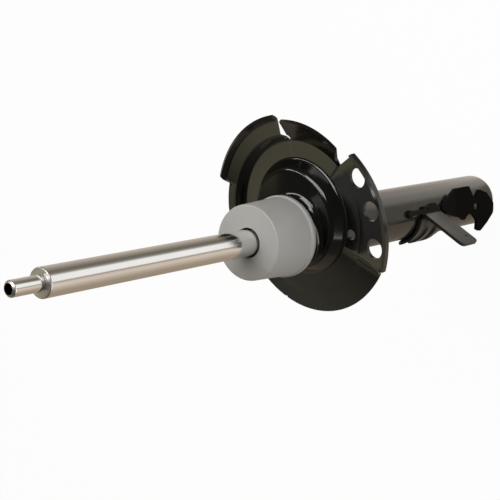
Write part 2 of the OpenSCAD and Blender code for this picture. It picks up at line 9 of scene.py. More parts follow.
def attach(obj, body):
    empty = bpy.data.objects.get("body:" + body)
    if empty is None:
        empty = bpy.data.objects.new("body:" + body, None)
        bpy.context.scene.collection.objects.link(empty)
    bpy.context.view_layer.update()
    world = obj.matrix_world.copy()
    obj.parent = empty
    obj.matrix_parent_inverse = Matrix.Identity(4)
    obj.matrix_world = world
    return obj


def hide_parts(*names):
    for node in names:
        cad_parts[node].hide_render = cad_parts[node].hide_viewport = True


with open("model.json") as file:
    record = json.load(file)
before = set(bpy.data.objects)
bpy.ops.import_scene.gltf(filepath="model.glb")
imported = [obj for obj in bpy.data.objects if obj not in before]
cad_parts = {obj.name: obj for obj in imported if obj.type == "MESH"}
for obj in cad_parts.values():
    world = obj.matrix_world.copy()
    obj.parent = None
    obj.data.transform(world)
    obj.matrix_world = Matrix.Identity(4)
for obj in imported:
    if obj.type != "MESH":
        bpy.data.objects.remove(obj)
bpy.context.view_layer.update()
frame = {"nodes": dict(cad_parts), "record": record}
nodes = frame["nodes"]
print("frame loaded:", len(nodes), "nodes")

mm = 0.001  # lengths below are written in millimetres


# a shader socket that can be used in sums
class Value:
    def __init__(self, finish, socket):
        self.finish = finish
        self.socket = socket

    def maths(self, operation, first, second):
        return self.finish.maths(operation, first, second)

    def __add__(self, other):
        return self.maths("ADD", self, other)

    def __radd__(self, other):
        return self.maths("ADD", other, self)

    def __sub__(self, other):
        return self.maths("SUBTRACT", self, other)

    def __rsub__(self, other):
        return self.maths("SUBTRACT", other, self)

    def __mul__(self, other):
        return self.maths("MULTIPLY", self, other)

    def __rmul__(self, other):
        return self.maths("MULTIPLY", other, self)


# the nodes of a new material, or of the world
class Finish:
    def __init__(self, name, world=None):
        self.material = world or bpy.data.materials.new(name)
        self.material.use_nodes = True
        self.tree = self.material.node_tree
        self.tree.nodes.clear()
        self.coords = None

    # any node: its type, then its settings, then its sockets
    def node(self, kind, settings=None, sockets=None, out=0):
        made = self.tree.nodes.new(kind)
        for key, value in (settings or {}).items():
            if key == "stops":
                ramp = made.color_ramp
                while len(ramp.elements) < len(value):
                    ramp.elements.new(0.5)
                for element, (place, colour) in zip(ramp.elements, value):
                    element.position = place
                    element.color = (*colour, 1)
            else:
                setattr(made, key, value)
        for key, value in (sockets or {}).items():
            if isinstance(value, Value):
                self.tree.links.new(value.socket, made.inputs[key])
            else:
                made.inputs[key].default_value = value
        return Value(self, made.outputs[out]) if made.outputs else made

    def maths(self, operation, first, second):
        return self.node("ShaderNodeMath", {"operation": operation}, {0: first, 1: second})

    # the first few of a vector's parts
    def parts(self, vector, count):
        split = self.node("ShaderNodeSeparateXYZ", None, {0: vector})
        return [Value(self, split.socket.node.outputs[k]) for k in range(count)]

    # place on the piece, stretched by a factor along each axis
    def place(self, stretch=(1, 1, 1)):
        if self.coords is None:
            self.coords = self.node("ShaderNodeTexCoord", out="Object")
        return self.node("ShaderNodeMapping", None, {"Vector": self.coords, "Scale": stretch})

    def noise(self, scale, detail, stretch=(1, 1, 1), rough=0.5):
        return self.node("ShaderNodeTexNoise", None, {
            "Vector": self.place(stretch), "Scale": scale, "Detail": detail, "Roughness": rough})

    def spread(self, value, low, high, toLow, toHigh):
        return self.node("ShaderNodeMapRange", {"clamp": True}, {
            "Value": value, "From Min": low, "From Max": high, "To Min": toLow, "To Max": toHigh})

    # noise lies mostly between 0.3 and 0.7, which is spread over the given range
    def vary(self, noise, low, high):
        return self.spread(noise, 0.3, 0.7, low, high)

    def tint(self, share, first, second):
        first, second = (c if isinstance(c, Value) else (*c, 1) for c in (first, second))
        sockets = {"Factor": share, 6: first, 7: second}
        return self.node("ShaderNodeMix", {"data_type": "RGBA"}, sockets, out=2)

    def bump(self, height, strength, depth):
        sockets = {"Height": height, "Strength": strength, "Distance": depth * mm}
        return self.node("ShaderNodeBump", None, sockets)

    def shade(self, **sockets):
        names = {key.replace("_", " "): value for key, value in sockets.items()}
        surface = self.node("ShaderNodeBsdfPrincipled", None, names)
        self.node("ShaderNodeOutputMaterial", None, {"Surface": surface})
        return self.material


# the chrome's marks by height: the shoulder and the stud's end are ground dull, and the socket's inside is
# painted near black as shade in the hole
chrome = {"dark": (0.80, 0.785, 0.76), "light": (0.88, 0.87, 0.85), "polish": (0.10, 0.17),
          "shoulder": (616.5, 619.2), "studEnd": 643.6, "blend": 0.4, "groundTone": (0.50, 0.475, 0.46),
          "groundRough": 0.3, "socketFrom": (635.5, 636.0), "socketEdge": (4.2, 4.3),
          "socketPaintedShade": (0.03, 0.03, 0.03)}


def hardChrome():
    c = chrome
    f = Finish("hardChrome")
    grind = f.noise(9, 4, (1, 1, 90), 0.6)  # fine grinding marks round the rod
    tone = f.tint(f.noise(26, 3), c["dark"], c["light"])
    x, y, z = f.parts(f.place(), 3)
    low, high = c["shoulder"]
    blend, studEnd = c["blend"], c["studEnd"]
    shoulder = f.spread(z, low * mm, (low + blend) * mm, 0, 1)
    shoulder = shoulder * f.spread(z, (high - blend) * mm, high * mm, 1, 0)
    ground = shoulder + f.spread(z, studEnd * mm, (studEnd + blend) * mm, 0, 1)
    deep = f.spread(z, *(h * mm for h in c["socketFrom"]), 0, 1)
    inside = deep * f.spread(x * x + y * y, *((r * mm) ** 2 for r in c["socketEdge"]), 1, 0)
    tone = f.tint(ground, tone, c["groundTone"])
    # painted shade: the socket's walls and floor are tinted near black, standing in for the hole's own shadow
    tone = f.tint(inside, tone, c["socketPaintedShade"])
    rough = f.vary(grind, *c["polish"]) + c["groundRough"] * ground
    return f.shade(Base_Color=tone, Metallic=1.0, Roughness=rough, Normal=f.bump(grind, 0.12, 0.01))


def turnedSteel():
    f = Finish("turnedSteel")
    marks = f.noise(12, 5, (1, 1, 60), 0.6)  # rings left by the lathe
    colour = f.tint(f.noise(60, 4), (0.5084, 0.5002, 0.4838), (0.62, 0.61, 0.59))
    return f.shade(Base_Color=colour, Metallic=1.0, Roughness=f.vary(marks, 0.21, 0.37),
                   Normal=f.bump(marks, 0.25, 0.02))


# paint or plastic: a grain in its surface, and a slow cloud in its colour and gloss
def paint(name, dark, light, rough, grain, cloud, relief, **constants):
    f = Finish(name)
    fine = f.noise(*grain)
    slow = f.noise(*cloud)
    return f.shade(Base_Color=f.tint(slow, dark, light), Roughness=f.vary(slow, *rough),
                   Normal=f.bump(fine, *relief), **constants)


# metal, rubber and plastic inside the tube, where the grain carries the gloss
def plainFinish(name, dark, light, rough, metallic=0.0, grainScale=300):
    f = Finish(name)
    grain = f.noise(grainScale, 4)
    cloud = f.noise(45, 3)
    return f.shade(Base_Color=f.tint(cloud, dark, light), Metallic=metallic,
                   Roughness=f.vary(grain, rough - 0.06, rough + 0.08), Normal=f.bump(grain, 0.25, 0.03))


# noise is [scale, detail], and relief is [strength, depth]
bracketSurface = {"grain": (700, 4), "cloud": (50, 3), "relief": (0.2, 0.03)}


# glossy on the strap itself, dull on the end that lies up the tube
def strapPaint():
    s = bracketSurface
    glossyTo, dullFrom = -9, -4  # across the strut
    f = Finish("strapPaint")
    grain = f.noise(*s["grain"])
    y = f.parts(f.place(), 2)[1]
    colour = f.tint(f.noise(*s["cloud"]), (0.004, 0.004, 0.004), (0.009, 0.009, 0.008))
    return f.shade(Base_Color=colour, Roughness=0.5, Specular_IOR_Level=0.1,
                   Coat_Weight=f.spread(y, glossyTo * mm, dullFrom * mm, 1, 0), Coat_Roughness=0.22,
                   Normal=f.bump(grain, *s["relief"]))


# by the name of the material slot
finishes = {
    "tube_paint": paint("tubePaint", (0.016, 0.016, 0.015), (0.026, 0.025, 0.023), rough=(0.14, 0.22),
                        grain=(340, 2), cloud=(24, 3), relief=(0.10, 0.02),
                        Coat_Weight=0.4, Coat_Roughness=0.08),
    "seat_paint": paint("seatPaint", (0.003, 0.003, 0.0025), (0.006, 0.006, 0.005), rough=(0.10, 0.15),
                        grain=(420, 3), cloud=(30, 4), relief=(0.06, 0.02)),
    "bracket_paint": paint("bracketPaint", (0.012, 0.012, 0.011), (0.022, 0.021, 0.019), rough=(0.30, 0.40),
                           **bracketSurface),
    "rod_chrome": hardChrome(),
    "cap_plastic": paint("capPlastic", (0.36, 0.355, 0.34), (0.40, 0.395, 0.38), rough=(0.40, 0.50),
                         grain=(900, 3), cloud=(40, 3), relief=(0.12, 0.02)),
    "steel": turnedSteel(),
    "sintered": plainFinish("sinteredIron", (0.20, 0.20, 0.20), (0.30, 0.30, 0.31), rough=0.5, metallic=1.0,
                            grainScale=800),
    "bronze": plainFinish("bushBronze", (0.46, 0.33, 0.16), (0.56, 0.42, 0.22), rough=0.32, metallic=1.0),
    "seal_rubber": plainFinish("sealRubber", (0.018, 0.018, 0.018), (0.03, 0.03, 0.03), rough=0.6),
    "bumper_rubber": plainFinish("bumperRubber", (0.42, 0.12, 0.03), (0.52, 0.17, 0.05), rough=0.45),
    "band_plastic": plainFinish("bandPlastic", (0.20, 0.12, 0.06), (0.28, 0.18, 0.10), rough=0.35),
}
dullBlack = paint("dullBlack", (0.001, 0.001, 0.001), (0.003, 0.003, 0.0025), rough=(0.45, 0.55),
                  Specular_IOR_Level=0.06, **bracketSurface)

slotOf = {part["node"]: part["material_slot"] for part in frame["record"]["subparts"]}
for name, piece in nodes.items():
    for place in piece.material_slots:
        place.material = finishes[slotOf[name]]
    if not piece.material_slots:
        piece.data.materials.append(finishes[slotOf[name]])
print("finishes set:", len(finishes))


roundSteps = 160  # faces round a turned piece
samePoint = 1e-6  # metres: nearer points are merged
nearRing = 2e-5  # metres: how close to a ring its points lie


# a profile of (radius, height) turned about the strut's axis
def turned(points, closed=False):
    bm = bmesh.new()
    verts = [bm.verts.new((r * mm, 0, z * mm)) for r, z in points]
    edges = [bm.edges.new(pair) for pair in zip(verts, verts[1:])]
    if closed:
        edges.append(bm.edges.new((verts[-1], verts[0])))
    bmesh.ops.spin(bm, geom=verts + edges, cent=(0, 0, 0), axis=(0, 0, 1), angle=math.tau, steps=roundSteps,
                   use_merge=True)
    bmesh.ops.remove_doubles(bm, verts=bm.verts, dist=samePoint)
    bmesh.ops.recalc_face_normals(bm, faces=bm.faces)
    return bm


# rounds the rings of a turned shape, each given as (radius, height, round)
def roundRings(bm, rings, segments=4):
    for r, z, size in rings:
        def on(v):
            return abs(v.co.xy.length - r * mm) < nearRing and abs(v.co.z - z * mm) < nearRing
        edges = [e for e in bm.edges if on(e.verts[0]) and on(e.verts[1])]
        bmesh.ops.bevel(bm, geom=edges, offset=size * mm, segments=segments, profile=0.5, affect="EDGES",
                        material=-1)


# a flat outline of (x, y) made solid, up from z = 0 or to both sides of it
def plate(points, thickness, centred=False):
    bm = bmesh.new()
    face = bm.faces.new([bm.verts.new((x * mm, y * mm, 0)) for x, y in points])
    grown = bmesh.ops.extrude_face_region(bm, geom=[face])
    bmesh.ops.translate(bm, verts=[v for v in grown["geom"] if isinstance(v, bmesh.types.BMVert)],
                        vec=(0, 0, thickness * mm))
    bmesh.ops.recalc_face_normals(bm, faces=bm.faces)
    if centred:
        bmesh.ops.translate(bm, verts=bm.verts, vec=(0, 0, -thickness / 2 * mm))
    return bm


# a closed profile of (radius, height) turned part of the way round
def sector(points, start, end, steps):
    bm = bmesh.new()
    face = bm.faces.new([bm.verts.new((r * mm, 0, z * mm)) for r, z in points])
    bmesh.ops.rotate(bm, verts=bm.verts, cent=(0, 0, 0), matrix=Matrix.Rotation(math.radians(start), 3, "Z"))
    bmesh.ops.spin(bm, geom=[face], cent=(0, 0, 0), axis=(0, 0, 1), angle=math.radians(end - start),
                   steps=steps)
    bmesh.ops.recalc_face_normals(bm, faces=bm.faces)
    return bm


# a round or many-sided bar, centred on its matrix
def bar(radius, length, sides, matrix):
    bm = bmesh.new()
    bmesh.ops.create_cone(bm, cap_ends=True, segments=sides, radius1=radius * mm, radius2=radius * mm,
                          depth=length * mm, matrix=matrix)
    return bm


# several shapes in one mesh, each left closed as it is
def joined(shapes):
    whole = shapes[0]
    for shape in shapes[1:]:
        mesh = bpy.data.meshes.new("part")
        shape.to_mesh(mesh)
        shape.free()
        whole.from_mesh(mesh)
        bpy.data.meshes.remove(mesh)
    return whole


# a shape as an object of the scene
def asObject(bm, name):
    mesh = bpy.data.meshes.new(name)
    bm.to_mesh(mesh)
    bm.free()
    made = bpy.data.objects.new(name, mesh)
    bpy.context.collection.objects.link(made)
    return made


# two closed shapes made one: the second is taken off, added on, or kept only where both are
def combined(bm, other, operation="DIFFERENCE"):
    body, tool = asObject(bm, "cutBody"), asObject(other, "cutTool")
    step = body.modifiers.new("cut", "BOOLEAN")
    step.operation = operation
    step.solver = "MANIFOLD"
    step.object = tool
    seen = body.evaluated_get(bpy.context.evaluated_depsgraph_get())
    result = bmesh.new()
    result.from_mesh(seen.to_mesh())
    for thing in (body, tool):
        mesh = thing.data
        bpy.data.objects.remove(thing)
        bpy.data.meshes.remove(mesh)
    bmesh.ops.dissolve_degenerate(result, edges=result.edges, dist=samePoint)
    bmesh.ops.delete(result, geom=[e for e in result.edges if not e.link_faces], context="EDGES")
    return result


# the shape as a piece: smooth up to an angle, its edges bevelled, on its body and in place of its solid
def finished(bm, name, finish, stands, body="strut_tube", smooth=35, edge=None, look=None):
    piece = asObject(bm, name)
    piece.data.materials.append(look or finishes[finish])
    piece.data.shade_smooth()
    piece.data.set_sharp_from_angle(angle=math.radians(smooth))
    if edge:
        bevel = piece.modifiers.new("edges", "BEVEL")
        bevel.width = edge["width"] * mm
        bevel.segments = edge["segments"]
        bevel.limit_method = "ANGLE"
        bevel.angle_limit = math.radians(edge["angle"])
        bevel.harden_normals = True
    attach(piece, body)
    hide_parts(*stands)


def polar(r, degrees):
    return (r * math.cos(math.radians(degrees)), r * math.sin(math.radians(degrees)))


noCorner = 0.03  # the sine of a turn too slight for an arc


# a path of (x, y, round) with its corners made arcs
def cornered(path, steps=4):
    points = [Vector(path[0][:2])]
    for before, at, after in zip(path, path[1:], path[2:]):
        p, q, n = (Vector(x[:2]) for x in (before, at, after))
        a, b = (p - q).normalized(), (n - q).normalized()
        if abs(a.x * b.y - a.y * b.x) < noCorner:  # the points lie along the path instead
            points += [q + (k / steps - 0.5) * (n - p).normalized() for k in range(steps + 1)]
            continue
        half = a.angle(b) / 2
        centre = q + (a + b).normalized() * at[2] / math.sin(half)
        start, end = q + a * at[2] / math.tan(half) - centre, q + b * at[2] / math.tan(half) - centre
        sweep = math.pi - 2 * half
        for t in (k / steps for k in range(steps + 1)):
            arm = math.sin(sweep * (1 - t)) * start + math.sin(sweep * t) * end
            points.append(centre + arm / math.sin(sweep))
    points.append(Vector(path[-1][:2]))
    return points


tube = {"radius": 25.5, "wall": 2.5, "top": 390.0, "rollIn": 17.5, "rollRound": 0.6, "endRound": 9.0,
        "endSkirt": 6.0, "endFloor": 3.5, "floorRound": 2.0, "smooth": 40}
hair = 0.02  # what a round leaves of the face that it would use up


def makeTube():
    r, wall, top, low = tube["radius"], tube["wall"], tube["top"], tube["endRound"]
    rollIn, skirt, floor = tube["rollIn"], low + tube["endSkirt"], tube["endFloor"]
    bm = turned([(r - wall, low), (r, low), (r, top), (rollIn, top), (rollIn, top - wall),
                 (r - wall, top - wall)], closed=True)
    roundRings(bm, [(r, top, wall), (rollIn, top, tube["rollRound"])])
    finished(bm, "outerTube", "tube_paint", stands=["reservoir_tube"], smooth=tube["smooth"])
    end = turned([(0, 0), (r, 0), (r, low), (r - wall, low), (r - wall, skirt), (r - 2 * wall, skirt),
                  (r - 2 * wall, floor), (0, floor)])
    roundRings(end, [(r, 0, low - hair)], 12)
    roundRings(end, [(r - 2 * wall, floor, tube["floorRound"])], 3)
    finished(end, "closedEnd", "tube_paint", stands=["base_cap"], smooth=tube["smooth"])


# neckRise is where the stud's neck starts and stops widening, above the shoulder
rodSize = {"radius": 11.0, "tail": 6.0, "tailLow": 260.7, "tailChamfer": 1.0, "step": 292.7,
           "groove": (337.7, 342.7), "grooveDeep": 1.2, "shoulder": 617.85, "shoulderRound": 0.9, "stud": 6.0,
           "studTop": 645.35, "studChamfer": 1.5, "studRound": 0.3, "neck": 1.2, "neckRise": (1.6, 2.6),
           "socket": 7.0, "socketDeep": 9.0}


def makeRod():
    s = rodSize
    r, tail, low, top = s["radius"], s["tail"], s["tailLow"], s["shoulder"]
    stud, studTop, slant, neck = s["stud"], s["studTop"], s["studChamfer"], s["stud"] - s["neck"]
    grooveLow, grooveTop = s["groove"]
    bm = turned([(0, low), (tail - s["tailChamfer"], low), (tail, low + s["tailChamfer"]), (tail, s["step"]),
                 (r, s["step"]), (r, grooveLow), (r - s["grooveDeep"], grooveLow),
                 (r - s["grooveDeep"], grooveTop), (r, grooveTop), (r, top), (neck, top),
                 (neck, top + s["neckRise"][0]), (stud, top + s["neckRise"][1]), (stud, studTop - slant),
                 (stud - slant, studTop), (0, studTop)])
    roundRings(bm, [(r, top, s["shoulderRound"]), (stud, studTop - slant, s["studRound"]),
                    (stud - slant, studTop, s["studRound"])], 3)
    hexagon = bar(s["socket"] / 2 / math.cos(math.pi / 6), 2 * s["socketDeep"], 6,
                  Matrix.Translation((0, 0, studTop * mm)) @ Matrix.Rotation(math.pi / 6, 4, "Z"))
    finished(combined(bm, hexagon), "slidingRod", "rod_chrome", body="rod", stands=["piston_rod"])


# ribs reach into the wall by ribSunk, above and below, and ribLead slants their low inner corner
cap = {"top": 392.85, "height": 48.5, "front": 31.5, "rear": 33.5, "lip": 35.0, "lipHeight": 5.0,
       "lipChamfer": 1.0, "wall": 2.4, "face": 2.8, "hole": 12.4, "frontRound": 1.2, "rearRound": 0.7,
       "lipRound": 0.8, "holeRound": 0.5, "ribs": 12, "ribThick": 1.8, "ribGap": 0.05, "ribSunk": (0.5, 0.2),
       "ribLow": 6.0, "ribLead": (1.0, 8.0)}


def makeCap():
    c = cap
    top, low, under = c["top"], c["top"] - c["height"], c["top"] - c["face"]
    lipTop, lipEdge = low + c["lipHeight"], low + c["lipHeight"] - c["lipChamfer"]
    frontIn, rearIn = c["front"] - c["wall"], c["rear"] - c["wall"]
    bm = turned([(c["hole"], top), (c["front"], top), (c["rear"], lipTop), (c["lip"], lipEdge),
                 (c["lip"], low), (rearIn, low), (frontIn, under), (c["hole"], under)], closed=True)
    roundRings(bm, [(c["front"], top, c["frontRound"])], 6)
    roundRings(bm, [(c["rear"], lipTop, c["rearRound"]), (c["lip"], lipEdge, c["lipRound"]),
                    (c["lip"], low, c["lipRound"]), (c["hole"], top, c["holeRound"])], 3)
    inner, ribLow = tube["radius"] + c["ribGap"], low + c["ribLow"]
    ribShape = [(inner, under), (frontIn + c["ribSunk"][0], under), (rearIn + c["ribSunk"][1], ribLow),
                (inner + c["ribLead"][0], ribLow), (inner, low + c["ribLead"][1])]
    for turn in range(c["ribs"]):
        rib = plate(ribShape, c["ribThick"], centred=True)
        for angle, axis in ((math.pi / 2, "X"), (math.tau * turn / c["ribs"], "Z")):
            bmesh.ops.rotate(rib, verts=rib.verts, cent=(0, 0, 0), matrix=Matrix.Rotation(angle, 3, axis))
        bm = joined([bm, rib])
    finished(bm, "bumpCap", "cap_plastic", stands=["bump_cap"])


makeTube()
makeRod()
makeCap()
print("tube, rod and cap made")


# a pressed sheet round a domed neck: radii and heights from the seat's own centre, at its ring's level
seat = {"centre": (0.0, 14.0, 316.0), "lean": 10.0, "rise": 41.0, "sheet": 3.0, "eye": 8.0, "neck": 28.3,
        "neckTop": 23.5, "neckRound": 12.0, "dome": 43.8, "domeHeight": 11.0, "domeSlope": 0.2,
        "domeRound": 7.0, "foot": 50.5, "footRound": 4.0, "ring": 66.5, "wall": 71.5, "wallRise": 7.0,
        "flange": 84.5, "flangeLow": 0.8, "flangeHeight": 14.0, "rim": 88.1, "rimHeight": 13.5, "sunk": 88.3,
        "sunkDepth": 10.5, "wingAt": (9.0, -8.0), "wing": 85.2, "wingLow": 0.5, "wingLip": 7.5,
        "wingSlope": 0.087, "steps": 288, "cornerSteps": 6,
        "edge": {"width": 0.45, "angle": 38, "segments": 2}, "smooth": 32}

# which section the sheet has at each turn (degrees), with a smooth change between two that differ
seatKeys = [(-28, "wing"), (39.1, "wing"), (39.9, "flange"), (89, "flange"), (90, "rim"), (155, "rim"),
            (156, "low"), (172, "low"), (212, "sunk"), (322, "sunk"), (331, "ramp"), (332, "wing")]

# big holes are [turn, how far in from the wing's edge]; the others are [how far out, turn, radius], the small
# hole's from the foot, the nick's from the sunk edge and the slot's end from the ring; the slot and the
# notch are outlines of [across, out from the ring] and [out from the ring, turn]
seatCuts = {"bigHoles": ((24.5, 11.3), (3.25, 12.6), (-18.75, 12.4)), "bigHole": 8.3,
            "smallHole": (6.5, -16, 4.4), "nick": (0.4, -119, 1.5), "slotEnd": (3, 89.5, 2.8),
            "slot": ((-5.4, 6), (-1.5, 3.5), (1.4, 3.5), (9, 43.5), (-0.6, 43.5), (-5.0, 18)),
            "notch": ((1, 39.4), (45.5, 34.5), (43.5, 44), (6, 43.2), (4.5, 41.9)),
            "through": 60, "boreGap": 0.1, "bore": 120}


# how far out a circle's edge lies in the direction a, when its centre isn't the seat's
def edgeOf(radius, centre, a):
    cx, cy = centre
    along = cx * math.cos(a) + cy * math.sin(a)
    return along + math.sqrt(radius ** 2 - cx * cx - cy * cy + along * along)


# where the tube's axis passes through the seat's level h
def tubeAt(h):
    lean, rise, shift = math.radians(seat["lean"]), math.radians(seat["rise"]), seat["centre"][1]
    along = h * math.tan(lean) - shift * math.sin(rise) / math.cos(lean)
    across = -shift * math.cos(rise)
    return (along * math.cos(rise) - across * math.sin(rise),
            along * math.sin(rise) + across * math.cos(rise))


# sections are points of (radius, height, round); this one runs from the neck's top to the dome's foot, and
# its rounds are held to a share of the land between the neck and the dome's edge
def domeSection(a):
    crown, top = seat["domeHeight"], seat["neckTop"]
    edge = edgeOf(seat["neck"], tubeAt(crown), a)
    land = seat["dome"] - edge
    return [(edgeOf(seat["neck"], tubeAt(top), a), top, 0),
            (edge, crown + seat["domeSlope"] * land, min(seat["neckRound"], 0.55 * land)),
            (seat["dome"], crown, min(seat["domeRound"], 0.6 * land)), (seat["foot"], 0, seat["footRound"])]


def wingSection(a):
    edge = edgeOf(seat["wing"], seat["wingAt"], a)
    ring, low = seat["ring"], seat["wingLow"]
    high = low + seat["wingSlope"] * (edge - ring)
    return [(ring, low, 3), ((ring + edge) / 2, (low + high) / 2, 3), (edge - 0.2, high, 1),
            (edge, seat["wingLip"], 0)]


# the sections that the sheet can have from the ring outwards
def seatSections(a):
    ring, wall, rise, rim = seat["ring"], seat["wall"], seat["wallRise"], seat["rim"]
    foot, depth = seat["flangeLow"], seat["sunkDepth"]
    run, climb = (seat["flange"] - ring) / 3, (seat["flangeHeight"] - foot) / 3
    return {
        "wing": wingSection(a),
        "ramp": [(ring, 0.4, 3), (ring + 8, 1, 3), (ring + 17, 1.6, 3), (ring + 25.5, 2.3, 0)],
        "flange": [(ring, foot, 1.5), (ring + run, foot + climb, 3), (ring + 2 * run, foot + 2 * climb, 3),
                   (seat["flange"], seat["flangeHeight"], 0)],
        "rim": [(ring, 0.4, 3), (wall, rise, 4), (rim - 2.8, rise + 1.6, 2), (rim, seat["rimHeight"], 0)],
        "low": [(ring, 0.4, 3), (wall, rise, 4), (rim - 10.3, rise + 0.6, 2), (rim - 6.8, rise + 1, 0)],
        "sunk": [(ring, -0.42 * depth, 3), (wall, -0.5 * depth, 3), (wall + 8.5, -0.75 * depth, 6),
                 (seat["sunk"], -depth, 0)],
    }


# the sheet's upper side at one turn, from the neck outwards
def seatPath(degrees):
    first = seatKeys[0][0]
    turn = (degrees - first) % 360 + first
    for (a0, kind0), (a1, kind1) in zip(seatKeys, seatKeys[1:]):
        if a0 <= turn <= a1:
            break
    share = (1 - math.cos(math.pi * (turn - a0) / (a1 - a0))) / 2
    sections = seatSections(math.radians(turn))
    outer = [tuple((1 - share) * x + share * y for x, y in zip(p, q))
             for p, q in zip(sections[kind0], sections[kind1])]
    return cornered(domeSection(math.radians(turn)) + outer, seat["cornerSteps"])


# from the seat's own frame, with its ring level at zero, to the strut's
def seatMatrix():
    rise = math.radians(seat["rise"])
    return (Matrix.Translation(Vector(seat["centre"]) * mm) @ Matrix.Rotation(rise, 4, "Z")
            @ Matrix.Rotation(-math.radians(seat["lean"]), 4, "Y") @ Matrix.Rotation(-rise, 4, "Z"))


def seatHole(out, degrees, radius, sides=64):
    x, y = polar(out, degrees)
    return bar(radius, seatCuts["through"], sides, Matrix.Translation((x * mm, y * mm, 0)))


# a path moved sideways, to the right of its direction
def moved(path, distance):
    ways = [(q - p).normalized() for p, q in zip(path, path[1:])]
    out = []
    for p, before, after in zip(path, ways[:1] + ways, ways + ways[-1:]):
        mid = (before + after).normalized()
        out.append(p + distance / mid.dot(before) * Vector((mid.y, -mid.x)))
    return out


# the sheet's closed outline at one turn, with the neck left full for the tube's bore
def seatOutline(degrees):
    upper = seatPath(degrees)
    lower = moved(upper, seat["sheet"])[seat["cornerSteps"] + 2:]
    eye = seat["eye"]
    inside = [Vector((eye, seat["domeHeight"] - seat["sheet"])), Vector((eye, seat["neckTop"]))]
    return upper + lower[::-1] + inside


def ringEdges(bm, ring):
    return [bm.edges.get(pair) for pair in zip(ring, ring[1:] + ring[:1])]


# a ring drawn out point by point along the outlines, and closed on itself
def seatShell():
    steps = seat["steps"]
    turns = [360 * (k + 0.3) / steps for k in range(steps)]  # 0.3 keeps the first column off the X axis
    outlines = [seatOutline(t) for t in turns]
    bm = bmesh.new()
    circle = bmesh.ops.create_circle(bm, segments=steps, radius=seat["neck"] * mm)["verts"]
    ring = first = sorted(circle, key=lambda v: math.atan2(v.co.y, v.co.x) % math.tau)
    for level in range(len(outlines[0])):
        if level:
            grown = bmesh.ops.extrude_edge_only(bm, edges=ringEdges(bm, ring))
            fresh = {v for v in grown["geom"] if isinstance(v, bmesh.types.BMVert)}
            ring = [next(e.other_vert(v) for e in v.link_edges if e.other_vert(v) in fresh) for v in ring]
        for v, outline, t in zip(ring, outlines, turns):
            v.co = Vector((*polar(outline[level].x, t), outline[level].y)) * mm
    bmesh.ops.bridge_loops(bm, edges=ringEdges(bm, first) + ringEdges(bm, ring))
    bmesh.ops.recalc_face_normals(bm, faces=bm.faces)
    return bm


def makeSeat():
    cuts, ring = seatCuts, seat["ring"]
    tools = []
    for turn, inset in cuts["bigHoles"]:
        edge = edgeOf(seat["wing"], seat["wingAt"], math.radians(turn))
        tools.append(seatHole(edge - inset, turn, cuts["bigHole"]))
    for start, key, sides in ((seat["foot"], "smallHole", 64), (seat["sunk"], "nick", 24)):
        out, turn, radius = cuts[key]
        tools.append(seatHole(start + out, turn, radius, sides))
    out, turn, radius = cuts["slotEnd"]
    slot = plate([(x, ring + y) for x, y in cuts["slot"]], cuts["through"], centred=True)
    tools.append(combined(slot, seatHole(ring + out, turn, radius, 32), "UNION"))
    tools.append(plate([polar(ring + r, t) for r, t in cuts["notch"]], cuts["through"], centred=True))
    bore = bar(tube["radius"] + cuts["boreGap"], cuts["bore"], roundSteps,
               Matrix.Translation((0, 0, seat["centre"][2] * mm)))
    bmesh.ops.transform(bore, matrix=seatMatrix().inverted(), verts=bore.verts)
    bm = combined(seatShell(), joined(tools + [bore]))
    bmesh.ops.transform(bm, matrix=seatMatrix(), verts=bm.verts)
    finished(bm, "springSeat", "seat_paint", stands=["spring_seat"], smooth=seat["smooth"], edge=seat["edge"])


makeSeat()
print("seat made")


# firstRidge is a share of the length; the flare goes [out, up, round] from the outer top corner, and back
# [out, up]; endTurns is where the plain end lies, in degrees past the strap's own end
strap = {"thick": 3.0, "inner": 25.6, "low": 112.0, "length": 50.0, "from": -84, "to": -10,
         "firstRidge": 0.16, "ridge": 2.2, "ridgeWidth": 11.0, "ridgeSlope": 2.0, "ridgeRound": 1.5,
         "pitch": 17.0, "flare": ((0, -4, 3), (1.5, 1, 0)), "flareBack": ((-1, 2), (-3, -3)), "lobe": 6.4,
         "lobeRise": 23.0, "endTurns": (-2, 26), "eyelet": 1.2,
         "edge": {"width": 0.5, "angle": 35, "segments": 3}}
tab = {"root": (28.6, -3.0, 139.0), "drop": 37.0, "length": 48.0, "width": 30.0, "sunk": 3.0, "corner": 5.0,
       "hole": 1.2, "holeIn": 10.0, "holeAcross": -6.0, "overlap": 0.1, "under": 200,
       "edge": {"width": 0.6, "angle": 35, "segments": 3}}
holeBar = 20  # long enough to pass through a sheet


# a flat outline of (across, height) pushed out along X
def pushedOut(points, depth=80):
    bm = plate(points, depth)
    turnedOut = Matrix(((0, 0, 1, 0), (1, 0, 0, 0), (0, 1, 0, 0), (0, 0, 0, 1)))
    bmesh.ops.transform(bm, matrix=turnedOut, verts=bm.verts)
    return bm


def disc(at, radius, sides=48):
    return [(at[0] + radius * math.cos(math.tau * k / sides), at[1] + radius * math.sin(math.tau * k / sides))
            for k in range(sides)]


def block(left, low, right, top):
    return [(left, low), (right, low), (right, top), (left, top)]


# the strap's section: two pressed ridges, and an upper edge that flares out
def strapProfile():
    s = strap
    outer, low, high = s["inner"] + s["thick"], s["low"], s["low"] + s["length"]
    path = [(outer, low, 0)]
    slope, bend, raised = s["ridgeSlope"], s["ridgeRound"], outer + s["ridge"]
    first = low + s["firstRidge"] * s["length"]
    for z in (first, first + s["pitch"]):
        path += [(outer, z, bend), (raised, z + slope, bend), (raised, z + s["ridgeWidth"] - slope, bend),
                 (outer, z + s["ridgeWidth"], bend)]
    path += [(outer + x, high + z, size) for x, z, size in s["flare"]]
    back = [(outer + x, high + z) for x, z in s["flareBack"]]
    return [(s["inner"], low)] + [tuple(v) for v in cornered(path)] + back


